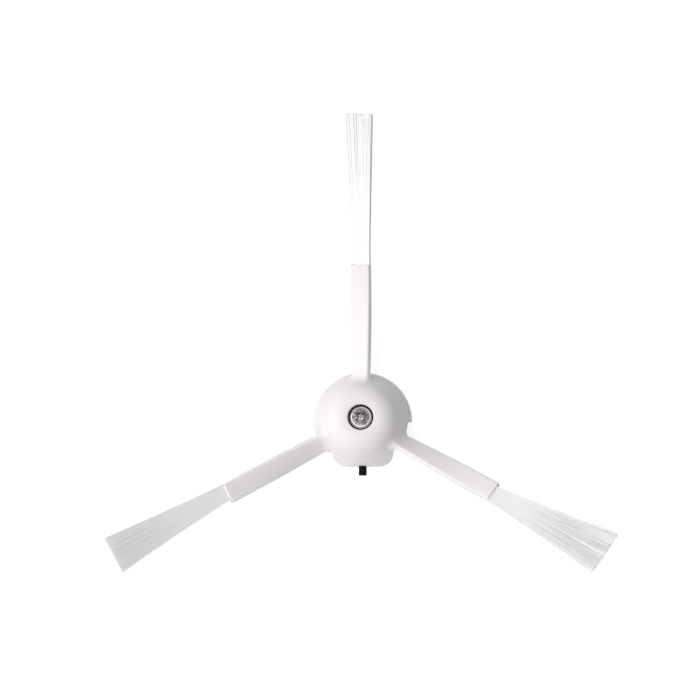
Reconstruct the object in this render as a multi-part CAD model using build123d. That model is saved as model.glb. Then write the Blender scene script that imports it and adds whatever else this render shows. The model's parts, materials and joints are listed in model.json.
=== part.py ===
from build123d import *
import os
from math import cos, radians, sin, tan

# Side brush of a robot vacuum: a domed hub with three twisted arms, and a tuft of bristles on each arm.
# Sizes are in millimetres and angles in degrees. Z is the hub's axis with the dome up, the skirt's rim
# stands on Z = 0, and arm 1 points along +Y. The arms rise outwards, towards the floor when in use.

ARM_COUNT = 3
FULL_TURN = 360.0

# Hub shell
HUB_RADIUS = 13.0
HUB_HEIGHT = 13.0
CROWN_RADIUS = 4.6
SKIRT_ANGLE = 68.0
RIM_BAND = 0.8
HUB_WALL = 1.6

# Screw seat and drive socket in the middle of the hub
RECESS_RADIUS = 3.4
RECESS_DEPTH = 2.6
SEAT_WEB = 1.8
SCREW_CLEARANCE = 0.15
SOCKET_WIDTH = 6.0
SOCKET_CORNER = 0.6
SOCKET_WALL = 1.3
SOCKET_SETBACK = 0.4
RECESS_EDGE = 0.25

# Ribs between the socket and the skirt
RIB_COUNT = 6
RIB_THICKNESS = 1.0
RIB_SETBACK = 2.0

# Windows in the skirt beside each arm, measured from the arm's own direction. Arm 3 has the wide one.
WINDOW_LEAD_ANGLES = (14.0, 14.0, 29.0)
WINDOW_TRAIL_ANGLES = (10.0, 10.0, 15.0)
WINDOW_HEIGHT = 3.2
WINDOW_ROUND = 1.2

# Arms
ARM_HEIGHT = 5.8
ARM_SLOPE = 16.0
ARM_ROOT_RADIUS = 7.6
ARM_END_RADIUS = 40.3
ARM_ROOT_WIDTH = 5.7
ARM_END_WIDTH = 5.5
ARM_ROOT_THICKNESS = 1.4
ARM_END_THICKNESS = 2.4
ARM_ROOT_ANGLE = 53.0
ARM_END_ANGLE = 15.0
ARM_EDGE = 0.5
ARM_STATIONS = 7
ARM_BLEND = 0.7

# Bristle tufts and the flat wire anchors that hold them
POCKET_WIDTH = 3.7
POCKET_THICKNESS = 1.2
POCKET_DEPTH = 6.0
TUFT_CLEARANCE = 0.05
TUFT_LENGTHS = (40.0, 35.0, 35.0)
TUFT_TIP_WIDTHS = (7.5, 10.0, 12.6)
TUFT_TIP_THICKNESS = 2.6
BRISTLE_DIAMETER = 0.36
BRISTLE_COLUMNS = 9
BRISTLE_ROWS = 3
BRISTLE_ROOT = 0.2
ANCHOR_THICKNESS = 0.35
ANCHOR_DEPTH = 1.8
ANCHOR_BITE = 0.3
ANCHOR_OFFSET = 1.0

# Fixing screw
HEAD_RADIUS = 2.8
HEAD_HEIGHT = 2.2
HEAD_ROUND = 0.8
FLANGE_RADIUS = 3.25
FLANGE_HEIGHT = 1.2
SHANK_RADIUS = 1.5
SHANK_LENGTH = 6.0
SHANK_CHAMFER = 0.4
NECK_RADIUS = 1.25
NECK_PLAY = 0.2
CROSS_TURN = 40.0
CROSS_SPAN = 3.3
CROSS_WIDTH = 0.8
CROSS_FLOOR_SPAN = 1.1
CROSS_FLOOR_WIDTH = 0.5
CROSS_DEPTH = 1.5

# Tongue that the skirt is trimmed to opposite arm 1, and the peg in its flat end
PEG_FLAT = 12.0
TONGUE_WIDTH = 16.0
TONGUE_CORNER = 3.5
TONGUE_START = 7.5
PEG_RADIUS = 1.05
PEG_REACH = 2.45
PEG_SEAT = 2.6
PEG_HEIGHT = 1.5
PEG_CLEARANCE = 0.03
PEG_BOSS_WALL = 0.9

# Heights and radii that follow from the sizes above
SEAT_HEIGHT = HUB_HEIGHT - RECESS_DEPTH
SOCKET_CEILING = SEAT_HEIGHT - SEAT_WEB
SOCKET_RADIUS = SOCKET_WIDTH / 2**0.5 + SOCKET_WALL
WALL_RUN = HUB_WALL / sin(radians(SKIRT_ANGLE))
PEG_INNER_RADIUS = PEG_FLAT - PEG_SEAT
BEYOND = 2 * HUB_HEIGHT


def between(start, end, share):
    return start + share * (end - start)


def dome(rim_radius, height):
    """Solid of revolution: upright rim band, conical skirt, round shoulder and flat crown"""
    angle = radians(SKIRT_ANGLE)
    skirt_run = (height - RIM_BAND) / tan(angle)
    shoulder_reach = sin(angle) - (1 - cos(angle)) / tan(angle)
    shoulder_radius = (rim_radius - CROWN_RADIUS - skirt_run) / shoulder_reach

    def shoulder_point(turn):
        return (CROWN_RADIUS + shoulder_radius * sin(turn), height - shoulder_radius * (1 - cos(turn)))

    band_top = (rim_radius, RIM_BAND)
    crown_edge = (CROWN_RADIUS, height)
    outline = Polyline((0, height), (0, 0), (rim_radius, 0), band_top, shoulder_point(angle))
    outline += ThreePointArc(shoulder_point(angle), shoulder_point(angle / 2), crown_edge)
    outline += Line(crown_edge, (0, height))
    return revolve(Plane.XZ * make_face(outline), Axis.Z)


def upright(radius, bottom, top):
    """Cylinder about the hub's axis between two heights"""
    return Pos(0, 0, (bottom + top) / 2) * Cylinder(radius, top - bottom)


def arm_frame(radius):
    """Plane across arm 1: x runs across the blade, z outwards along the arm"""
    twist_end = ARM_END_RADIUS - POCKET_DEPTH
    share = min(1.0, (radius - ARM_ROOT_RADIUS) / (twist_end - ARM_ROOT_RADIUS))
    pitch = radians(between(ARM_ROOT_ANGLE, ARM_END_ANGLE, share))
    slope = radians(ARM_SLOPE)
    height = ARM_HEIGHT + (radius - HUB_RADIUS) * tan(slope)
    along = Vector(0, cos(slope), sin(slope))
    up = Vector(0, -sin(slope), cos(slope))
    across = Vector(1, 0, 0) * cos(pitch) + up * sin(pitch)
    return Plane((0, radius, height), x_dir=across, z_dir=along)


def arm_blade():
    """Twisted strip of arm 1, lofted through rounded sections"""
    sections = []
    for station in range(ARM_STATIONS):
        share = station / (ARM_STATIONS - 1)
        width = between(ARM_ROOT_WIDTH, ARM_END_WIDTH, share)
        thickness = between(ARM_ROOT_THICKNESS, ARM_END_THICKNESS, share)
        radius = between(ARM_ROOT_RADIUS, ARM_END_RADIUS, share)
        sections.append(arm_frame(radius) * RectangleRounded(width, thickness, ARM_EDGE))
    return loft(sections)


def pocket_block(width, thickness, inner, outer):
    """Block in the arm's end, from one depth to another measured outwards from the mouth"""
    end = arm_frame(ARM_END_RADIUS)
    return end * Pos(0, 0, (inner + outer) / 2) * Box(width, thickness, outer - inner)


def anchor(margin):
    """Flat wire across the pocket of arm 1, grown by a margin for its slot"""
    inner = ANCHOR_OFFSET - POCKET_DEPTH
    width = POCKET_WIDTH + 2 * ANCHOR_BITE + 2 * margin
    return pocket_block(width, ANCHOR_THICKNESS + 2 * margin, inner - margin, inner + ANCHOR_DEPTH + margin)


def around(shape, number):
    """Copy of an arm 1 shape on another arm"""
    return Rot(0, 0, number * FULL_TURN / ARM_COUNT) * shape


def tuft(length, tip_width):
    """Root block in the pocket of arm 1, with straight bristles that fan out to a square-cut tip"""
    width = POCKET_WIDTH - 2 * TUFT_CLEARANCE
    thickness = POCKET_THICKNESS - 2 * TUFT_CLEARANCE
    root = pocket_block(width, thickness, TUFT_CLEARANCE - POCKET_DEPTH, 0) - anchor(TUFT_CLEARANCE)
    end = arm_frame(ARM_END_RADIUS)
    start_width = width - BRISTLE_DIAMETER
    start_thickness = thickness - BRISTLE_DIAMETER
    bristles = []
    for column in range(BRISTLE_COLUMNS):
        side = column / (BRISTLE_COLUMNS - 1) - 0.5
        for row in range(BRISTLE_ROWS):
            face = row / (BRISTLE_ROWS - 1) - 0.5
            start = Vector(side * start_width, face * start_thickness, -BRISTLE_ROOT)
            tip = Vector(side * tip_width, face * TUFT_TIP_THICKNESS, length)
            run = tip - start
            path = Plane(start, z_dir=run)
            bristle = path * Pos(0, 0, run.length / 2) * Cylinder(BRISTLE_DIAMETER / 2, run.length)
            bristles.append(end * bristle)
    return root + bristles


def peg(radius, inner, outer):
    """Radial cylinder through the skirt, opposite arm 1"""
    axis = Plane((0, -inner, PEG_HEIGHT), z_dir=(0, -1, 0))
    return axis * Pos(0, 0, (outer - inner) / 2) * Cylinder(radius, outer - inner)


def hub_cavity():
    """Hollow under the dome, around the drive socket, its ribs and the peg's boss"""
    cavity = dome(HUB_RADIUS - WALL_RUN, HUB_HEIGHT - HUB_WALL)
    standing = upright(SOCKET_RADIUS, SOCKET_SETBACK, HUB_HEIGHT)
    rib_height = HUB_HEIGHT - RIB_SETBACK
    rib = Box(HUB_RADIUS, RIB_THICKNESS, rib_height)
    rib = Pos(HUB_RADIUS / 2, 0, RIB_SETBACK + rib_height / 2) * rib
    for number in range(RIB_COUNT):
        standing += Rot(0, 0, (number + 0.5) * FULL_TURN / RIB_COUNT) * rib
    standing += peg(PEG_RADIUS + PEG_BOSS_WALL, PEG_INNER_RADIUS - PEG_BOSS_WALL, HUB_RADIUS)
    return cavity - standing


def skirt_window(lead_angle, trail_angle):
    """Opening low in the skirt on both sides of arm 1, with round upper corners"""
    radial = HUB_RADIUS - WALL_RUN
    section = Plane.XZ * Pos(radial + BEYOND / 2, WINDOW_HEIGHT / 2) * Rectangle(BEYOND, WINDOW_HEIGHT)
    sector = revolve(section, Axis.Z, lead_angle + trail_angle)
    upper_corners = sector.edges().filter_by(GeomType.LINE).group_by(Axis.Z)[-1]
    sector = fillet(upper_corners, WINDOW_ROUND)
    return Rot(0, 0, FULL_TURN / 4 - trail_angle) * sector


def skirt_trim():
    """What is cut off the skirt on both sides of its tongue and at the tongue's flat end"""
    tongue = extrude(RectangleRounded(TONGUE_WIDTH, 2 * PEG_FLAT, TONGUE_CORNER), HUB_HEIGHT)
    beside = Pos(0, -TONGUE_START - BEYOND / 2, HUB_HEIGHT / 2) * Box(2 * HUB_RADIUS, BEYOND, HUB_HEIGHT)
    return beside - tongue


def brush_body():
    """Hub and arms, one moulding"""
    shell = dome(HUB_RADIUS, HUB_HEIGHT)
    blades = [around(arm_blade(), number) for number in range(ARM_COUNT)]
    body = shell + blades
    body = fillet(new_edges(shell, *blades, combined=body), ARM_BLEND)
    body -= skirt_trim() - blades
    body -= hub_cavity()
    socket = RectangleRounded(SOCKET_WIDTH, SOCKET_WIDTH, SOCKET_CORNER)
    body -= extrude(socket, SOCKET_CEILING)
    body -= upright(NECK_RADIUS + SCREW_CLEARANCE, 0, HUB_HEIGHT)
    body -= upright(RECESS_RADIUS, SEAT_HEIGHT, HUB_HEIGHT)
    mouth = Cone(RECESS_RADIUS, RECESS_RADIUS + RECESS_EDGE, RECESS_EDGE)
    body -= Pos(0, 0, HUB_HEIGHT - RECESS_EDGE / 2) * mouth
    body -= peg(PEG_RADIUS + PEG_CLEARANCE, PEG_INNER_RADIUS, HUB_RADIUS)
    for number in range(ARM_COUNT):
        window = skirt_window(WINDOW_LEAD_ANGLES[number], WINDOW_TRAIL_ANGLES[number])
        body -= around(window - arm_blade(), number)
        body -= around(pocket_block(POCKET_WIDTH, POCKET_THICKNESS, -POCKET_DEPTH, BEYOND), number)
        body -= around(anchor(TUFT_CLEARANCE), number)
    return body


def fixing_screw():
    """Flanged pan head screw with a cross recess, held by a thin neck, its thread in the drive socket"""
    head_top = SEAT_HEIGHT + HEAD_HEIGHT
    thread_top = SOCKET_CEILING - NECK_PLAY
    head = upright(HEAD_RADIUS, SEAT_HEIGHT, head_top)
    head = fillet(head.edges().sort_by(Axis.Z)[-1], HEAD_ROUND)
    head += upright(FLANGE_RADIUS, SEAT_HEIGHT, SEAT_HEIGHT + FLANGE_HEIGHT)
    shank = upright(SHANK_RADIUS, SEAT_HEIGHT - SHANK_LENGTH, thread_top)
    shank = chamfer(shank.edges().sort_by(Axis.Z)[0], SHANK_CHAMFER)
    screw = head + upright(NECK_RADIUS, thread_top, SEAT_HEIGHT) + shank
    mouth = Rectangle(CROSS_SPAN, CROSS_WIDTH) + Rectangle(CROSS_WIDTH, CROSS_SPAN)
    floor = Rectangle(CROSS_FLOOR_SPAN, CROSS_FLOOR_WIDTH) + Rectangle(CROSS_FLOOR_WIDTH, CROSS_FLOOR_SPAN)
    cross = loft([Pos(0, 0, head_top - CROSS_DEPTH) * floor, Pos(0, 0, head_top) * mouth])
    return screw - Rot(0, 0, CROSS_TURN) * cross


def save(name, shape):
    export_step(shape, f"parts/{name}.step")


os.makedirs("parts", exist_ok=True)
save("brush_body", brush_body())
save("fixing_screw", fixing_screw())
save("rim_peg", peg(PEG_RADIUS, PEG_INNER_RADIUS, PEG_FLAT + PEG_REACH))
for number in range(ARM_COUNT):
    save(f"bristle_tuft_{number + 1}", around(tuft(TUFT_LENGTHS[number], TUFT_TIP_WIDTHS[number]), number))
    save(f"tuft_anchor_{number + 1}", around(anchor(0), number))
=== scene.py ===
import json
import math
import random

import bpy
import numpy as np
from mathutils import Matrix, Vector


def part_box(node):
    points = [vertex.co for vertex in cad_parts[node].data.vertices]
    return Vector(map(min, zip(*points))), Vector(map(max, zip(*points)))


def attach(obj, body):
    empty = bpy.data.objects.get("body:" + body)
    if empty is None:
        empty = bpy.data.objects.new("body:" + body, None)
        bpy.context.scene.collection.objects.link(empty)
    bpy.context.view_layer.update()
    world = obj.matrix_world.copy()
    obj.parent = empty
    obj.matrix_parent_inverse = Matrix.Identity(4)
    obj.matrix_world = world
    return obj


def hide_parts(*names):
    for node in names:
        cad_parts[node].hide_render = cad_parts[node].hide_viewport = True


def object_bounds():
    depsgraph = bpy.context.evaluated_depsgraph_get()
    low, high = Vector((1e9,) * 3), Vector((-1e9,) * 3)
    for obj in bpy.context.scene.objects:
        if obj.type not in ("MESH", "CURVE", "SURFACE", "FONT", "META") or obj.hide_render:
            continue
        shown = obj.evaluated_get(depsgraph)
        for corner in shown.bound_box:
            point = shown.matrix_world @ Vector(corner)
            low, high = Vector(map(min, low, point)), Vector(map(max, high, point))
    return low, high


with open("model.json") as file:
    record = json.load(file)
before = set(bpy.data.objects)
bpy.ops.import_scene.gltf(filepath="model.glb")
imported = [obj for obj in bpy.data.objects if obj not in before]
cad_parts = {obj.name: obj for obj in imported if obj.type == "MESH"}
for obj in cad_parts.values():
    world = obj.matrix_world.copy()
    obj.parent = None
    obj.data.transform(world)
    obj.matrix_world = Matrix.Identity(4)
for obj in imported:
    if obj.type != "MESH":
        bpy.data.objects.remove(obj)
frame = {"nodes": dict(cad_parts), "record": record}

bl_info = {
    "name": "Side Brush",
    "version": (1, 0, 0),
    "blender": (4, 5, 0),
    "location": "3D View > Sidebar > Side Brush",
    "description": "Dresses a three-arm side brush with bristles, a threaded screw and its finishes",
    "category": "Object",
}

MM = 0.001
CAD_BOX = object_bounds()
BODY = "root"
IMAGE_PIXELS = 700
ARM_COUNT = 3
FIRST_ARM_DEGREES = 90
MERGE_DISTANCE = 0.0005 * MM

# Range that the level of a noise pattern mostly stays in
NOISE_LOW = 0.3
NOISE_HIGH = 0.7

# Sockets of a mix node that mixes colours
MIX_SHARE = 0
MIX_FIRST = 6
MIX_SECOND = 7
MIX_RESULT = 2


def linear(hex_colour):
    """Linear red, green and blue of an sRGB hex colour"""
    channels = []
    for start in (1, 3, 5):
        value = int(hex_colour[start:start + 2], 16) / 255
        low = value / 12.92
        high = ((value + 0.055) / 1.055) ** 2.4
        channels.append(low if value <= 0.04045 else high)
    return tuple(channels)


WHITE = linear("#FFFFFF")


def colour_setting(name, description, hex_colour):
    return bpy.props.FloatVectorProperty(
        name=name, description=description, default=linear(hex_colour), subtype="COLOR", min=0, max=1)


def length_setting(name, description, millimetres):
    return bpy.props.FloatProperty(
        name=name, description=description, default=millimetres * MM, unit="LENGTH", precision=5)


class SideBrushSizes(bpy.types.PropertyGroup):
    root_round: length_setting("Root round", "Radius of the corner between an arm and the dome", 2.2)
    root_reach: length_setting("Root reach", "Where the rounding starts inside the dome's wall", 9.0)
    bristle_columns: bpy.props.IntProperty(
        name="Bristle columns", description="Bristles side by side across a tuft", default=30)
    bristle_rows: bpy.props.IntProperty(
        name="Bristle rows", description="Layers of bristles through a tuft", default=3)
    bristle_width: length_setting("Bristle width", "Width of one oval nylon bristle", 0.26)
    bristle_thickness: length_setting("Bristle thickness", "Thickness of one oval nylon bristle", 0.14)
    bristle_start: length_setting("Bristle start", "How deep in the pocket a bristle begins", 2.8)
    bristle_bow: length_setting("Bristle bow", "Most that a bristle bows out of line", 0.08)
    bristle_stray: length_setting("Bristle stray", "Most that a tip strays from its place", 0.06)
    cut_scatter: length_setting("Cut scatter", "Most that a bristle is cut short", 0.3)
    bristle_gather: bpy.props.FloatProperty(
        name="Bristle gather", description="Share of the tuft's depth that its layers fill at the tip",
        default=0.7)
    bristle_flare: bpy.props.FloatProperty(
        name="Bristle flare", description="Share of the fan that opens late along the tuft", default=0.3)
    thread_pitch: length_setting("Thread pitch", "Rise of the screw's thread in one turn", 0.5)
    thread_depth: length_setting("Thread depth", "Height of the thread's ridge", 0.3)
    crown_rise: length_setting("Crown rise", "How far the screw head's top is domed", 0.15)
    flange_edge: length_setting("Flange edge", "Bevel on the screw's flange", 0.06)
    cross_span: length_setting("Cross span", "Tip to tip of the screw's cross recess", 3.3)
    cross_width: length_setting("Cross width", "Width of a wing of the cross recess", 0.8)
    cross_depth: length_setting("Cross depth", "Depth of the cross recess", 1.5)
    cross_turn: bpy.props.FloatProperty(
        name="Cross turn", description="Turn of the screw's cross from the X axis",
        default=math.radians(40), unit="ROTATION")
    cross_taper: bpy.props.FloatProperty(
        name="Cross taper", description="Size of the recess floor as a share of its mouth", default=0.42)
    peg_edge: length_setting("Peg edge", "Bevel on the ends of the black peg", 0.08)


class SideBrushFinishes(bpy.types.PropertyGroup):
    moulding: colour_setting("Moulding", "White plastic of the hub and arms", "#F0ECEC")
    bristle: colour_setting("Bristle", "Natural white nylon of the bristles", "#F5F3F2")
    plating: colour_setting("Plating", "Zinc plating of the screw", "#8C8889")
    # The screw rim colour is a painted highlight on the rounded edge of the head
    screw_rim_highlight: colour_setting("Screw rim", "Polished rim of the screw head", "#DCDADA")
    peg: colour_setting("Peg", "Black plastic of the peg", "#050505")
    wire: colour_setting("Wire", "Bright steel of the tuft anchors", "#C4C2BE")
    floor: colour_setting("Floor", "White of the studio floor", "#DADADA")


class SideBrushStudio(bpy.types.PropertyGroup):
    tilt: bpy.props.FloatProperty(
        name="Tilt", description="Lean of the camera from straight above", default=math.radians(6.5),
        unit="ROTATION")
    yaw: bpy.props.FloatProperty(
        name="Yaw", description="Swing of the camera to the right",
        default=math.radians(3), unit="ROTATION")
    distance: length_setting("Distance", "Camera to the screw head", 1300)
    pixels_per_mm: bpy.props.FloatProperty(
        name="Scale", description="Pixels of the picture to a millimetre at the screw head", default=3.8)
    head_column: bpy.props.FloatProperty(
        name="Head column", description="Picture column of the screw head's middle", default=360.6)
    head_row: bpy.props.FloatProperty(
        name="Head row", description="Picture row of the screw head's middle", default=417)
    softbox_power: bpy.props.FloatProperty(
        name="Softbox", description="Power of the softbox on the left", default=1.9, unit="POWER")
    front_power: bpy.props.FloatProperty(
        name="Front softbox", description="Power of the softbox in front", default=2.2, unit="POWER")
    left_level: bpy.props.FloatProperty(
        name="Left level", description="Level of the studio's light from the left", default=1.15)
    right_level: bpy.props.FloatProperty(
        name="Right level", description="Level of the studio's light from the right", default=0.0)


def add_node(tree, kind, settings=None, inputs=None):
    """Adds a node, sets its options, and fills its sockets with values or with other nodes' outputs"""
    made = tree.nodes.new(kind)
    for option, value in (settings or {}).items():
        setattr(made, option, value)
    for socket, value in (inputs or {}).items():
        if isinstance(value, bpy.types.NodeSocket):
            tree.links.new(value, made.inputs[socket])
        else:
            made.inputs[socket].default_value = value
    return made


def new_material(name):
    """Node material with an empty tree, as (material, tree)"""
    material = bpy.data.materials.new(name)
    material.use_nodes = True
    material.node_tree.nodes.clear()
    return material, material.node_tree


def shade(colour, share=1.0):
    """A colour with its alpha, darkened to a share of its level"""
    return (*(channel * share for channel in colour), 1)


def moulded_abs(colour):
    # White ABS from a fine spark-eroded mould: a soft satin sheen, a faint grain and a little light
    # that sinks in. The grain is really about 0.08 mm and is drawn at 0.3 mm so that it shows.
    grain_width = 0.3 * MM
    flow_width = 9 * MM
    material, tree = new_material("moulded_white_abs")
    place = add_node(tree, "ShaderNodeTexCoord").outputs["Object"]
    grain = add_node(tree, "ShaderNodeTexNoise", None, {"Vector": place, "Scale": 1 / grain_width})
    flow = add_node(tree, "ShaderNodeTexNoise", None, {"Vector": place, "Scale": 1 / flow_width})
    tone = add_node(tree, "ShaderNodeMix", {"data_type": "RGBA"}, {
        MIX_SHARE: flow.outputs["Fac"], MIX_FIRST: shade(colour, 0.97), MIX_SECOND: shade(colour)})
    satin = add_node(tree, "ShaderNodeMapRange", None, {
        "Value": flow.outputs["Fac"], "From Min": NOISE_LOW, "From Max": NOISE_HIGH,
        "To Min": 0.38, "To Max": 0.46})
    bump = add_node(tree, "ShaderNodeBump", None, {
        "Strength": 0.12, "Distance": 0.02 * MM, "Height": grain.outputs["Fac"]})
    shader = add_node(tree, "ShaderNodeBsdfPrincipled", None, {
        "Base Color": tone.outputs[MIX_RESULT], "Roughness": satin.outputs["Result"],
        "Normal": bump.outputs["Normal"], "IOR": 1.54, "Specular IOR Level": 0.35,
        "Subsurface Weight": 0.15, "Subsurface Radius": (1.0, 0.9, 0.85), "Subsurface Scale": 0.8 * MM})
    add_node(tree, "ShaderNodeOutputMaterial", None, {"Surface": shader.outputs["BSDF"]})
    return material


def drawn_nylon(colour):
    # Natural nylon drawn into filaments: milky white, smooth and slightly shiny along each strand
    drift_width = 1.2 * MM
    material, tree = new_material("drawn_natural_nylon")
    place = add_node(tree, "ShaderNodeTexCoord").outputs["Object"]
    drift = add_node(tree, "ShaderNodeTexNoise", None, {"Vector": place, "Scale": 1 / drift_width})
    tone = add_node(tree, "ShaderNodeMix", {"data_type": "RGBA"}, {
        MIX_SHARE: drift.outputs["Fac"], MIX_FIRST: shade(colour, 0.97), MIX_SECOND: shade(colour)})
    gloss = add_node(tree, "ShaderNodeMapRange", None, {
        "Value": drift.outputs["Fac"], "From Min": NOISE_LOW, "From Max": NOISE_HIGH,
        "To Min": 0.3, "To Max": 0.42})
    shader = add_node(tree, "ShaderNodeBsdfPrincipled", None, {
        "Base Color": tone.outputs[MIX_RESULT], "Roughness": gloss.outputs["Result"], "IOR": 1.53,
        "Sheen Weight": 0.4, "Sheen Roughness": 0.5})
    add_node(tree, "ShaderNodeOutputMaterial", None, {"Surface": shader.outputs["BSDF"]})
    return material


def zinc_plated_steel(colour, rim, top):
    # Zinc plating on a cold-headed screw: a grey, rubbed and mottled top, a painted highlight on the rim,
    # painted glints in the recess among the mottled grey, and a flange painted near black as painted
    # shade in the gap round the head. The zones follow the distance from the screw's axis and the depth
    # below its top. A pair holds where a zone or a pattern starts and where it has its full strength.
    rim_highlight_zone = (2.32 * MM, 2.42 * MM)
    flange_zone = (2.82 * MM, 2.9 * MM)
    recess_zone = (top - 0.2 * MM, top - 0.4 * MM)
    rub_width = 0.45 * MM
    glint_width = 0.35 * MM
    rub_levels = (0.42, 0.6)
    glint_levels = (0.43, 0.51)
    rubbed = shade(colour, 0.3)
    plated = shade(colour, 1.05)
    # Near black flange colour: painted shade in the gap round the head
    flange_painted_shade = shade(colour, 0.02)
    material, tree = new_material("zinc_plated_steel")
    place = add_node(tree, "ShaderNodeTexCoord").outputs["Object"]
    level = add_node(tree, "ShaderNodeVectorMath", {"operation": "MULTIPLY"}, {0: place, 1: (1, 1, 0)})
    reach = add_node(tree, "ShaderNodeVectorMath", {"operation": "LENGTH"}, {0: level.outputs["Vector"]})
    height = add_node(tree, "ShaderNodeSeparateXYZ", None, {0: place})
    # Painted highlight: this mask gives the rim a lighter colour where the rounded edge catches the light
    edge = add_node(tree, "ShaderNodeMapRange", None, {
        "Value": reach.outputs["Value"], "From Min": rim_highlight_zone[0], "From Max": rim_highlight_zone[1]})
    sunk = add_node(tree, "ShaderNodeMapRange", None, {
        "Value": height.outputs["Z"], "From Min": recess_zone[0], "From Max": recess_zone[1]})
    outside = add_node(tree, "ShaderNodeMapRange", None, {
        "Value": reach.outputs["Value"], "From Min": flange_zone[0], "From Max": flange_zone[1]})
    rub = add_node(tree, "ShaderNodeTexNoise", None, {"Vector": place, "Scale": 1 / rub_width})
    mottle = add_node(tree, "ShaderNodeMapRange", None, {
        "Value": rub.outputs["Fac"], "From Min": rub_levels[0], "From Max": rub_levels[1]})
    worn = add_node(tree, "ShaderNodeMix", {"data_type": "RGBA"}, {
        MIX_SHARE: mottle.outputs["Result"], MIX_FIRST: rubbed, MIX_SECOND: plated})
    # Painted glints: random spots in the recess get the lighter rim colour, standing for walls that catch
    # the light
    glint_noise = add_node(tree, "ShaderNodeTexNoise", None, {"Vector": place, "Scale": 1 / glint_width})
    flash = add_node(tree, "ShaderNodeMapRange", None, {
        "Value": glint_noise.outputs["Fac"], "From Min": glint_levels[0], "From Max": glint_levels[1]})
    glint = add_node(tree, "ShaderNodeMath", {"operation": "MULTIPLY"}, {
        0: sunk.outputs["Result"], 1: flash.outputs["Result"]})
    bright = add_node(tree, "ShaderNodeMath", {"operation": "MAXIMUM"}, {
        0: edge.outputs["Result"], 1: glint.outputs[0]})
    # Painted highlights: the rim and the glints in the recess get the lighter rim colour
    painted_highlights = add_node(tree, "ShaderNodeMix", {"data_type": "RGBA"}, {
        MIX_SHARE: bright.outputs[0], MIX_FIRST: worn.outputs[MIX_RESULT], MIX_SECOND: shade(rim)})
    # Painted shade: the flange is near black, standing for the shade in the gap round the head
    skin = add_node(tree, "ShaderNodeMix", {"data_type": "RGBA"}, {
        MIX_SHARE: outside.outputs["Result"], MIX_FIRST: painted_highlights.outputs[MIX_RESULT],
        MIX_SECOND: flange_painted_shade})
    finish = add_node(tree, "ShaderNodeMapRange", None, {
        "Value": rub.outputs["Fac"], "From Min": NOISE_LOW, "From Max": NOISE_HIGH,
        "To Min": 0.24, "To Max": 0.38})
    bump = add_node(tree, "ShaderNodeBump", None, {
        "Strength": 0.5, "Distance": 0.04 * MM, "Height": rub.outputs["Fac"]})
    shader = add_node(tree, "ShaderNodeBsdfPrincipled", None, {
        "Base Color": skin.outputs[MIX_RESULT], "Metallic": 1.0, "Roughness": finish.outputs["Result"],
        "Normal": bump.outputs["Normal"]})
    add_node(tree, "ShaderNodeOutputMaterial", None, {"Surface": shader.outputs["BSDF"]})
    return material


def black_acetal(colour):
    # Black acetal rod, cut off square: near black, with a low even sheen
    skin_width = 0.4 * MM
    material, tree = new_material("cut_black_acetal")
    place = add_node(tree, "ShaderNodeTexCoord").outputs["Object"]
    skin = add_node(tree, "ShaderNodeTexNoise", None, {"Vector": place, "Scale": 1 / skin_width})
    tone = add_node(tree, "ShaderNodeMix", {"data_type": "RGBA"}, {
        MIX_SHARE: skin.outputs["Fac"], MIX_FIRST: shade(colour, 0.8), MIX_SECOND: shade(colour)})
    sheen = add_node(tree, "ShaderNodeMapRange", None, {
        "Value": skin.outputs["Fac"], "From Min": NOISE_LOW, "From Max": NOISE_HIGH,
        "To Min": 0.36, "To Max": 0.46})
    bump = add_node(tree, "ShaderNodeBump", None, {
        "Strength": 0.1, "Distance": 0.02 * MM, "Height": skin.outputs["Fac"]})
    shader = add_node(tree, "ShaderNodeBsdfPrincipled", None, {
        "Base Color": tone.outputs[MIX_RESULT], "Roughness": sheen.outputs["Result"],
        "Normal": bump.outputs["Normal"], "IOR": 1.48, "Specular IOR Level": 0.08})
    add_node(tree, "ShaderNodeOutputMaterial", None, {"Surface": shader.outputs["BSDF"]})
    return material


def rolled_wire(colour):
    # Flat-rolled bright steel wire: metal with a dull rolled skin
    skin_width = 0.25 * MM
    material, tree = new_material("rolled_steel_wire")
    place = add_node(tree, "ShaderNodeTexCoord").outputs["Object"]
    skin = add_node(tree, "ShaderNodeTexNoise", None, {"Vector": place, "Scale": 1 / skin_width})
    tone = add_node(tree, "ShaderNodeMix", {"data_type": "RGBA"}, {
        MIX_SHARE: skin.outputs["Fac"], MIX_FIRST: shade(colour, 0.85), MIX_SECOND: shade(colour)})
    dull = add_node(tree, "ShaderNodeMapRange", None, {
        "Value": skin.outputs["Fac"], "From Min": NOISE_LOW, "From Max": NOISE_HIGH,
        "To Min": 0.3, "To Max": 0.42})
    shader = add_node(tree, "ShaderNodeBsdfPrincipled", None, {
        "Base Color": tone.outputs[MIX_RESULT], "Metallic": 1.0, "Roughness": dull.outputs["Result"]})
    add_node(tree, "ShaderNodeOutputMaterial", None, {"Surface": shader.outputs["BSDF"]})
    return material


def seen_directly(tree):
    """One for rays from the camera, a mirror or glass, and nothing for the rays that light things"""
    path = add_node(tree, "ShaderNodeLightPath")
    seen = path.outputs["Is Camera Ray"]
    for ray in ("Is Glossy Ray", "Is Transmission Ray"):
        either = add_node(tree, "ShaderNodeMath", {"operation": "MAXIMUM"}, {
            0: seen, 1: path.outputs[ray]})
        seen = either.outputs[0]
    return seen


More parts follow.
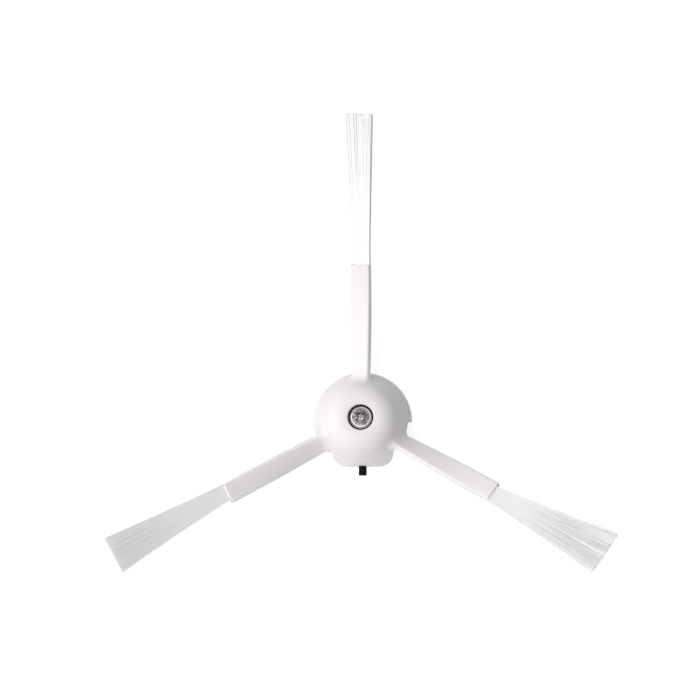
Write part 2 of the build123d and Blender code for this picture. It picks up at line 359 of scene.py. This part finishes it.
def white_floor(colour):
    # Seamless white paper: the camera sees it as white, less the soft shadow that falls on it
    shadow_level = 0.3
    glow_level = 0.82
    material, tree = new_material("seamless_white_paper")
    paper = add_node(tree, "ShaderNodeBsdfDiffuse", None, {"Color": shade(colour)})
    shadow = add_node(tree, "ShaderNodeBsdfDiffuse", None, {"Color": shade(WHITE, shadow_level)})
    glow = add_node(tree, "ShaderNodeEmission", None, {"Color": shade(WHITE), "Strength": glow_level})
    bright = add_node(tree, "ShaderNodeAddShader", None,
                      {0: shadow.outputs["BSDF"], 1: glow.outputs["Emission"]})
    mixed = add_node(tree, "ShaderNodeMixShader", None, {
        "Fac": seen_directly(tree), 1: paper.outputs["BSDF"], 2: bright.outputs["Shader"]})
    add_node(tree, "ShaderNodeOutputMaterial", None, {"Surface": mixed.outputs["Shader"]})
    return material


def deselect_all():
    if bpy.context.mode != "OBJECT":
        bpy.ops.object.mode_set(mode="OBJECT")
    bpy.ops.object.select_all(action="DESELECT")


def make_active(piece):
    deselect_all()
    piece.select_set(True)
    bpy.context.view_layer.objects.active = piece


def named(piece, name):
    piece.name = name
    piece.data.name = name
    return piece


def settle(piece):
    """Puts a piece's place, turn and size into its mesh"""
    make_active(piece)
    bpy.ops.object.transform_apply(location=True, rotation=True, scale=True)
    return piece


def close_and_smooth(piece, angle):
    """Merges doubles, turns all faces outwards and smooths the edges flatter than an angle in degrees"""
    make_active(piece)
    bpy.ops.object.mode_set(mode="EDIT")
    bpy.ops.mesh.select_all(action="SELECT")
    bpy.ops.mesh.remove_doubles(threshold=MERGE_DISTANCE)
    bpy.ops.mesh.normals_make_consistent(inside=False)
    bpy.ops.object.mode_set(mode="OBJECT")
    bpy.ops.object.shade_smooth_by_angle(angle=math.radians(angle))
    return piece


def finish_piece(piece, material, node):
    """Gives a piece its finish and puts it in the place of a CAD node"""
    piece.data.materials.clear()
    piece.data.materials.append(material)
    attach(piece, BODY)
    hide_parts(node)


def node_copy(node, name):
    """Copy of a CAD node as a piece of its own, without the node's stored normals"""
    piece = bpy.data.objects.new(name, frame["nodes"][node].data.copy())
    bpy.context.scene.collection.objects.link(piece)
    make_active(piece)
    bpy.ops.mesh.customdata_custom_splitnormals_clear()
    return piece


def points(node):
    """A CAD node's corners as rows of x, y and z"""
    mesh = frame["nodes"][node].data
    flat = np.zeros(len(mesh.vertices) * 3)
    mesh.vertices.foreach_get("co", flat)
    return flat.reshape(-1, 3)


def tuft_frame(node):
    """Where a tuft leaves its arm and how it lies, read from its solid and its arm's end"""
    tip_band = 2 * MM
    root_band = 0.5 * MM
    decimals = 8
    corners = np.unique(points(node).round(decimals), axis=0)
    reach = np.hypot(corners[:, 0], corners[:, 1])
    tip = corners[reach > reach.max() - tip_band]
    root = corners[reach < reach.min() + root_band]
    along = tip.mean(0) - root.mean(0)
    along = along / np.linalg.norm(along)
    across = np.linalg.svd(tip - tip.mean(0), full_matrices=False)[2][0]
    across = across - along * (across @ along)
    across = across / np.linalg.norm(across)
    through = np.cross(along, across)
    arm_end = (points("brush_body") @ along).max()
    mouth = root.mean(0) + along * (arm_end - root.mean(0) @ along)
    return {
        "mouth": mouth, "across": across, "through": through, "along": along,
        "length": ((tip - mouth) @ along).max(),
        "root_width": np.abs((root - mouth) @ across).max(),
        "root_depth": np.abs((root - mouth) @ through).max(),
        "tip_width": np.abs((tip - mouth) @ across).max(),
        "tip_depth": np.abs((tip - mouth) @ through).max(),
    }


def model_bristle(width, thickness):
    """One straight oval bristle a metre long, with rings to bend at"""
    sides = 6
    rings = 6
    length = 1
    deselect_all()
    bpy.ops.mesh.primitive_cylinder_add(
        vertices=sides, radius=width / 2, depth=length, location=(0, 0, length / 2))
    bristle = bpy.context.object
    bristle.scale.y = thickness / width
    settle(bristle)
    bpy.ops.object.mode_set(mode="EDIT")
    bpy.ops.mesh.select_mode(type="EDGE")
    bpy.ops.mesh.select_all(action="DESELECT")
    bpy.ops.object.mode_set(mode="OBJECT")
    for edge in bristle.data.edges:
        ends = [bristle.data.vertices[number].co.z for number in edge.vertices]
        edge.select = abs(ends[0] - ends[1]) > length / 2
    bpy.ops.object.mode_set(mode="EDIT")
    bpy.ops.mesh.subdivide(number_cuts=rings)
    bpy.ops.object.mode_set(mode="OBJECT")
    return bristle


class SIDEBRUSH_OT_moulding(bpy.types.Operator):
    """Smooths the white moulding and rounds the corners where its arms leave the hub"""
    bl_idname = "side_brush.moulding"
    bl_label = "Hub and arms"

    def execute(self, context):
        crease = 28
        finishes = context.scene.side_brush_finishes
        piece = close_and_smooth(node_copy("brush_body", "hub_and_arms"), crease)
        self.round_roots(piece, context.scene.side_brush_sizes)
        close_and_smooth(piece, crease)
        finish_piece(piece, moulded_abs(finishes.moulding), "brush_body")
        return {"FINISHED"}

    def round_roots(self, piece, sizes):
        """Fills the corners between the arms and the dome to the line that a rolling ball would leave"""
        fine = 0.25 * MM
        sunk = 0.07 * MM
        merge = 0.005 * MM
        sliver = 0.01 * MM
        fill = piece.copy()
        fill.data = piece.data.copy()
        bpy.context.scene.collection.objects.link(fill)
        # Swelling closes the corners, and shrinking back leaves them filled and all else a little sunk
        self.remesh(fill, fine)
        self.swell(fill, sizes.root_round)
        self.remesh(fill, fine)
        make_active(fill)
        soften = fill.modifiers.new("soften", "SMOOTH")
        soften.iterations = 4
        bpy.ops.object.modifier_apply(modifier=soften.name)
        self.swell(fill, -sizes.root_round - sunk)
        self.remesh(fill, fine)
        self.combine(fill, self.root_zones(sizes), "INTERSECT")
        self.combine(piece, fill, "UNION")
        bpy.ops.object.mode_set(mode="EDIT")
        bpy.ops.mesh.select_all(action="SELECT")
        bpy.ops.mesh.remove_doubles(threshold=merge)
        bpy.ops.mesh.dissolve_degenerate(threshold=sliver)
        bpy.ops.object.mode_set(mode="OBJECT")

    def remesh(self, piece, fine):
        """Gives a piece an even mesh with no crossings"""
        make_active(piece)
        voxels = piece.modifiers.new("voxels", "REMESH")
        voxels.mode = "VOXEL"
        voxels.voxel_size = fine
        bpy.ops.object.modifier_apply(modifier=voxels.name)

    def swell(self, piece, distance):
        """Moves a piece's surface outwards by a distance"""
        make_active(piece)
        move = piece.modifiers.new("swell", "DISPLACE")
        move.mid_level = 0
        move.strength = distance
        bpy.ops.object.modifier_apply(modifier=move.name)

    def root_zones(self, sizes):
        """A block round each arm's root, from inside the dome's wall outwards, leaning with the wall"""
        lean = math.radians(22)
        block_size = Vector((12, 11, 7.2)) * MM
        height = 8.9 * MM
        out = sizes.root_reach + block_size.x / 2
        blocks = []
        for number in range(ARM_COUNT):
            turn = math.radians(FIRST_ARM_DEGREES + number * 360 / ARM_COUNT)
            deselect_all()
            bpy.ops.mesh.primitive_cube_add(
                size=1, location=(out * math.cos(turn), out * math.sin(turn), height),
                rotation=(0, -lean, turn))
            bpy.context.object.scale = block_size
            blocks.append(settle(bpy.context.object))
        make_active(blocks[0])
        for block in blocks:
            block.select_set(True)
        bpy.ops.object.join()
        return blocks[0]

    def combine(self, piece, other, operation):
        """Joins another piece to a piece or cuts the piece to it, and removes the other"""
        make_active(piece)
        join = piece.modifiers.new("combine", "BOOLEAN")
        join.object = other
        join.operation = operation
        join.solver = "EXACT"
        # Only the union needs the slower test for crossings
        join.use_self = operation == "UNION"
        bpy.ops.object.modifier_apply(modifier=join.name)
        bpy.data.objects.remove(other)


class SIDEBRUSH_OT_tufts(bpy.types.Operator):
    """Fills each arm's end with a fan of separate bristles"""
    bl_idname = "side_brush.tufts"
    bl_label = "Bristle tufts"

    def execute(self, context):
        sizes = context.scene.side_brush_sizes
        nylon = drawn_nylon(context.scene.side_brush_finishes.bristle)
        pattern = model_bristle(sizes.bristle_width, sizes.bristle_thickness)
        straight = np.array([vertex.co for vertex in pattern.data.vertices])
        crease = math.radians(50)
        for number in range(1, ARM_COUNT + 1):
            node = f"bristle_tuft_{number}"
            lie = tuft_frame(node)
            chance = random.Random(number)
            strands = []
            for column in range(sizes.bristle_columns):
                for row in range(sizes.bristle_rows):
                    strands.append(self.strand(pattern, straight, lie, sizes, chance, column, row))
            make_active(strands[0])
            for strand in strands:
                strand.select_set(True)
            bpy.ops.object.join()
            piece = named(strands[0], f"bristles_{number}")
            bpy.ops.object.shade_smooth_by_angle(angle=crease)
            finish_piece(piece, nylon, node)
        bpy.data.objects.remove(pattern)
        return {"FINISHED"}

    def strand(self, pattern, straight, lie, sizes, chance, column, row):
        """Copy of the bristle, bent along its own line of the fan"""
        strand = pattern.copy()
        strand.data = pattern.data.copy()
        bpy.context.scene.collection.objects.link(strand)
        half = np.array([sizes.bristle_width, sizes.bristle_thickness]) / 2
        shift = (row + 0.5) / sizes.bristle_rows
        side = 2 * (column + shift) / sizes.bristle_columns - 1
        face = 2 * (row + 0.5) / sizes.bristle_rows - 1
        room = np.array([lie["tip_width"], lie["tip_depth"] * sizes.bristle_gather]) - half
        root = np.array([lie["root_width"], lie["root_depth"]]) - 2 * half
        start = np.array([side, face]) * root
        stray = np.array([chance.uniform(-1, 1), chance.uniform(-1, 1)]) * sizes.bristle_stray
        tip = np.clip(np.array([side, face]) * room + stray, -room, room)
        bow = np.array([chance.uniform(-1, 1), chance.uniform(-1, 1)]) * sizes.bristle_bow
        length = lie["length"] - chance.random() ** 2 * sizes.cut_scatter
        deep = straight[:, 2] * (length + sizes.bristle_start) - sizes.bristle_start
        share = np.clip(deep / length, 0, 1)
        opening = share + sizes.bristle_flare * (share * share - share)
        waver = np.sin(np.pi * share) * share
        flat = start + np.outer(opening, tip - start) + np.outer(waver, bow)
        flat = np.clip(flat, -room, room) + straight[:, :2]
        placed = lie["mouth"] + np.outer(flat[:, 0], lie["across"]) + np.outer(flat[:, 1], lie["through"])
        placed += np.outer(deep, lie["along"])
        strand.data.vertices.foreach_set("co", placed.ravel())
        return strand


class SIDEBRUSH_OT_screw(bpy.types.Operator):
    """Turns the pan head screw, sinks its cross recess and cuts its thread"""
    bl_idname = "side_brush.screw"
    bl_label = "Fixing screw"
    crease = 32

    def execute(self, context):
        sizes = context.scene.side_brush_sizes
        finishes = context.scene.side_brush_finishes
        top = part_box("fixing_screw")[1].z
        plating = zinc_plated_steel(finishes.plating, finishes.screw_rim_highlight, top)
        piece = self.turn(sizes)
        self.sink_cross(piece, sizes)
        thread = self.cut_thread(sizes)
        make_active(piece)
        thread.select_set(True)
        bpy.ops.object.join()
        close_and_smooth(piece, self.crease)
        finish_piece(named(piece, "threaded_screw"), plating, "fixing_screw")
        return {"FINISHED"}

    def thread_size(self):
        """Radius of the thread's crest and length of the thread, from the record's pin"""
        mounts = {mount["name"]: mount["dims"] for mount in frame["record"]["mounts"]}
        pin = mounts["screw_thread"]
        return pin["r_mm"] * MM, pin["length_mm"] * MM

    def turn(self, sizes):
        """Shank, flange and head, drawn up ring by ring"""
        low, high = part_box("fixing_screw")
        near = 0.01 * MM
        point_share = 0.85
        point_length = 0.2 * MM
        corner_steps = 7
        crown_shares = (0.7, 0.4, 0.15)
        sides = 64
        core = self.thread_size()[0] - sizes.thread_depth
        profile = points("fixing_screw")
        reach = np.hypot(profile[:, 0], profile[:, 1])
        heights = profile[:, 2]
        flange = reach.max()
        seat = heights[reach > flange - near].min()
        ledge = heights[reach > flange - near].max()
        head = reach[heights > ledge + near].max()
        shoulder = heights[reach > head - near].max()
        corner = high.z - sizes.crown_rise - shoulder
        soft = sizes.flange_edge
        rings = [(core * point_share, low.z), (core, low.z + point_length), (core, seat),
                 (flange - soft, seat), (flange, seat + soft), (flange, ledge - soft),
                 (flange - soft, ledge), (head, ledge)]
        for step in range(corner_steps + 1):
            angle = math.pi / 2 * step / corner_steps
            rings.append((head - corner * (1 - math.cos(angle)), shoulder + corner * math.sin(angle)))
        edge = rings[-1][0]
        for share in crown_shares:
            rings.append((edge * share, high.z - sizes.crown_rise * share ** 2))
        deselect_all()
        bpy.ops.mesh.primitive_circle_add(
            vertices=sides, radius=rings[0][0], fill_type="NGON", location=(0, 0, rings[0][1]))
        piece = settle(bpy.context.object)
        bpy.ops.object.mode_set(mode="EDIT")
        for (last_radius, last_height), (radius, height) in zip(rings, rings[1:]):
            bpy.ops.mesh.extrude_region_move(
                TRANSFORM_OT_translate={"value": (0, 0, height - last_height)})
            ratio = radius / last_radius
            bpy.ops.transform.resize(value=(ratio, ratio, 1), center_override=(0, 0, height))
        bpy.ops.object.mode_set(mode="OBJECT")
        return close_and_smooth(piece, self.crease)

    def sink_cross(self, piece, sizes):
        """Tapered cross cut into the head's top"""
        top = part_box("fixing_screw")[1].z
        wide = sizes.cross_width
        deep = sizes.cross_depth
        deselect_all()
        bpy.ops.mesh.primitive_cube_add(size=1, location=(0, 0, top))
        cutter = bpy.context.object
        cutter.scale = (wide, wide, 2 * deep)
        settle(cutter)
        # The four upright faces grow into the wings
        for polygon in cutter.data.polygons:
            polygon.select = abs(polygon.normal.z) < 0.5
        bpy.ops.object.mode_set(mode="EDIT")
        bpy.ops.mesh.select_mode(type="FACE")
        bpy.ops.mesh.extrude_faces_move(
            TRANSFORM_OT_shrink_fatten={"value": (sizes.cross_span - wide) / 2})
        bpy.ops.object.mode_set(mode="OBJECT")
        for vertex in cutter.data.vertices:
            share = (vertex.co.z - (top - deep)) / deep
            size = sizes.cross_taper + (1 - sizes.cross_taper) * share
            vertex.co.x *= size
            vertex.co.y *= size
        cutter.rotation_euler.z = sizes.cross_turn
        close_and_smooth(settle(cutter), self.crease)
        make_active(piece)
        cut = piece.modifiers.new("cross", "BOOLEAN")
        cut.object = cutter
        cut.operation = "DIFFERENCE"
        cut.solver = "EXACT"
        bpy.ops.object.modifier_apply(modifier=cut.name)
        bpy.data.objects.remove(cutter)

    def cut_thread(self, sizes):
        """Helical ridge of the thread, closed at both ends"""
        flank_share = 0.42
        lead_in = 0.5 * MM
        sunk = 0.05 * MM
        steps = 32
        crest, length = self.thread_size()
        half = sizes.thread_pitch * flank_share
        turns = int(length / sizes.thread_pitch) - 1
        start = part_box("fixing_screw")[0].z + lead_in
        foot = crest - sizes.thread_depth - sunk
        deselect_all()
        bpy.ops.mesh.primitive_circle_add(
            vertices=3, radius=1, fill_type="NOTHING", rotation=(math.pi / 2, 0, 0))
        ridge = settle(bpy.context.object)
        outline = ((crest, 0), (foot, half), (foot, -half))
        for vertex, (radius, rise) in zip(ridge.data.vertices, outline):
            vertex.co = (radius, 0, start + rise)
        sweep = ridge.modifiers.new("sweep", "SCREW")
        sweep.axis = "Z"
        sweep.angle = math.tau
        sweep.screw_offset = sizes.thread_pitch
        sweep.iterations = turns
        sweep.steps = steps
        sweep.render_steps = steps
        bpy.ops.object.modifier_apply(modifier=sweep.name)
        bpy.ops.object.mode_set(mode="EDIT")
        bpy.ops.mesh.select_all(action="SELECT")
        bpy.ops.mesh.remove_doubles(threshold=MERGE_DISTANCE)
        bpy.ops.mesh.fill_holes(sides=3)
        bpy.ops.object.mode_set(mode="OBJECT")
        return ridge


class SIDEBRUSH_OT_peg(bpy.types.Operator):
    """Turns the black peg in the hub's rim, with its square-cut end"""
    bl_idname = "side_brush.peg"
    bl_label = "Rim peg"

    def execute(self, context):
        sides = 40
        crease = 30
        sharp = math.radians(40)
        bevel_steps = 3
        acetal = black_acetal(context.scene.side_brush_finishes.peg)
        low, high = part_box("rim_peg")
        middle = (low + high) / 2
        deselect_all()
        bpy.ops.mesh.primitive_cylinder_add(
            vertices=sides, radius=(high.x - low.x) / 2, depth=high.y - low.y, location=middle,
            rotation=(math.pi / 2, 0, 0))
        piece = settle(bpy.context.object)
        bpy.ops.object.mode_set(mode="EDIT")
        bpy.ops.mesh.select_mode(type="EDGE")
        bpy.ops.mesh.select_all(action="DESELECT")
        bpy.ops.mesh.edges_select_sharp(sharpness=sharp)
        bpy.ops.mesh.bevel(offset=context.scene.side_brush_sizes.peg_edge, segments=bevel_steps)
        bpy.ops.object.mode_set(mode="OBJECT")
        close_and_smooth(piece, crease)
        finish_piece(named(piece, "cut_peg"), acetal, "rim_peg")
        return {"FINISHED"}


class SIDEBRUSH_OT_anchors(bpy.types.Operator):
    """Gives the flat wires that hold the tufts their steel"""
    bl_idname = "side_brush.anchors"
    bl_label = "Tuft anchors"

    def execute(self, context):
        wire = rolled_wire(context.scene.side_brush_finishes.wire)
        for number in range(1, ARM_COUNT + 1):
            mesh = frame["nodes"][f"tuft_anchor_{number}"].data
            mesh.materials.clear()
            mesh.materials.append(wire)
        return {"FINISHED"}


class SIDEBRUSH_OT_stage(bpy.types.Operator):
    """Lays the white floor and sets up the studio lights and the camera"""
    bl_idname = "side_brush.stage"
    bl_label = "Studio"

    def execute(self, context):
        left_place = (-0.45, 0, 0.75)
        front_place = (-0.15, -0.35, 0.9)
        scene = context.scene
        studio = scene.side_brush_studio
        scene.view_settings.view_transform = "Standard"
        self.lay_floor(scene.side_brush_finishes.floor)
        self.light_world(scene, studio)
        self.softbox("left_softbox", left_place, studio.softbox_power)
        self.softbox("front_softbox", front_place, studio.front_power)
        self.place_camera(scene, studio)
        return {"FINISHED"}

    def lay_floor(self, colour):
        floor_size = 8
        gap = 0.05 * MM
        deselect_all()
        bpy.ops.mesh.primitive_plane_add(size=floor_size, location=(0, 0, CAD_BOX[0][2] - gap))
        floor = named(settle(bpy.context.object), "studio_floor")
        floor.data.materials.append(white_floor(colour))

    def light_world(self, scene, studio):
        """Soft light from all round that falls off from left to right, seen as plain white"""
        world = bpy.data.worlds.new("studio")
        scene.world = world
        world.use_nodes = True
        tree = world.node_tree
        tree.nodes.clear()
        place = add_node(tree, "ShaderNodeTexCoord")
        sides = add_node(tree, "ShaderNodeSeparateXYZ", None, {0: place.outputs["Generated"]})
        level = add_node(tree, "ShaderNodeMapRange", None, {
            "Value": sides.outputs["X"], "From Min": -1, "From Max": 1,
            "To Min": studio.left_level, "To Max": studio.right_level})
        light = add_node(tree, "ShaderNodeBackground", None, {
            "Color": shade(WHITE), "Strength": level.outputs["Result"]})
        white = add_node(tree, "ShaderNodeBackground", None, {"Color": shade(WHITE), "Strength": 1})
        mixed = add_node(tree, "ShaderNodeMixShader", None, {
            "Fac": seen_directly(tree), 1: light.outputs["Background"], 2: white.outputs["Background"]})
        add_node(tree, "ShaderNodeOutputWorld", None, {"Surface": mixed.outputs["Shader"]})

    def softbox(self, name, place, power):
        """Square lamp that faces the origin"""
        lamp = bpy.data.lights.new(name, "AREA")
        lamp.shape = "SQUARE"
        lamp.size = 0.6
        lamp.energy = power
        holder = bpy.data.objects.new(name, lamp)
        holder.location = place
        holder.rotation_euler = Vector(place).to_track_quat("Z", "Y").to_euler()
        bpy.context.scene.collection.objects.link(holder)

    def place_camera(self, scene, studio):
        """Looks down on the hub so that the screw head lands on its place in the picture"""
        head = Vector((0, 0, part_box("fixing_screw")[1].z))
        back = Vector((math.sin(studio.yaw), -math.sin(studio.tilt), math.cos(studio.tilt))).normalized()
        right = Vector((0, 1, 0)).cross(back).normalized()
        up = back.cross(right)
        pixel = MM / studio.pixels_per_mm
        middle = IMAGE_PIXELS / 2
        target = head - right * (studio.head_column - middle) * pixel
        target = target + up * (studio.head_row - middle) * pixel
        camera = bpy.data.cameras.new("photo_camera")
        camera.sensor_width = 36
        camera.lens = camera.sensor_width * studio.distance / (IMAGE_PIXELS * pixel)
        camera.clip_start = 0.01
        camera.clip_end = 50
        holder = bpy.data.objects.new("photo_camera", camera)
        holder.location = target + back * studio.distance
        holder.rotation_euler = Matrix((right, up, back)).transposed().to_euler()
        scene.collection.objects.link(holder)
        scene.camera = holder


class SIDEBRUSH_PT_panel(bpy.types.Panel):
    """Lists the brush's pieces, sizes and finishes"""
    bl_idname = "SIDEBRUSH_PT_panel"
    bl_label = "Side Brush"
    bl_space_type = "VIEW_3D"
    bl_region_type = "UI"
    bl_category = "Side Brush"

    def draw(self, context):
        column = self.layout.column()
        for operator in OPERATORS:
            column.operator(operator.bl_idname)
        for group in (context.scene.side_brush_sizes, context.scene.side_brush_finishes,
                      context.scene.side_brush_studio):
            for setting in group.__annotations__:
                column.prop(group, setting)


OPERATORS = (SIDEBRUSH_OT_moulding, SIDEBRUSH_OT_tufts, SIDEBRUSH_OT_screw, SIDEBRUSH_OT_peg,
             SIDEBRUSH_OT_anchors, SIDEBRUSH_OT_stage)
CLASSES = (SideBrushSizes, SideBrushFinishes, SideBrushStudio, *OPERATORS, SIDEBRUSH_PT_panel)


def register():
    for item in CLASSES:
        bpy.utils.register_class(item)
    bpy.types.Scene.side_brush_sizes = bpy.props.PointerProperty(type=SideBrushSizes)
    bpy.types.Scene.side_brush_finishes = bpy.props.PointerProperty(type=SideBrushFinishes)
    bpy.types.Scene.side_brush_studio = bpy.props.PointerProperty(type=SideBrushStudio)


def unregister():
    del bpy.types.Scene.side_brush_studio
    del bpy.types.Scene.side_brush_finishes
    del bpy.types.Scene.side_brush_sizes
    for item in reversed(CLASSES):
        bpy.utils.unregister_class(item)


def main():
    register()
    bpy.ops.side_brush.moulding()
    bpy.ops.side_brush.tufts()
    bpy.ops.side_brush.screw()
    bpy.ops.side_brush.peg()
    bpy.ops.side_brush.anchors()
    bpy.ops.side_brush.stage()


if __name__ == "__main__":
    main()
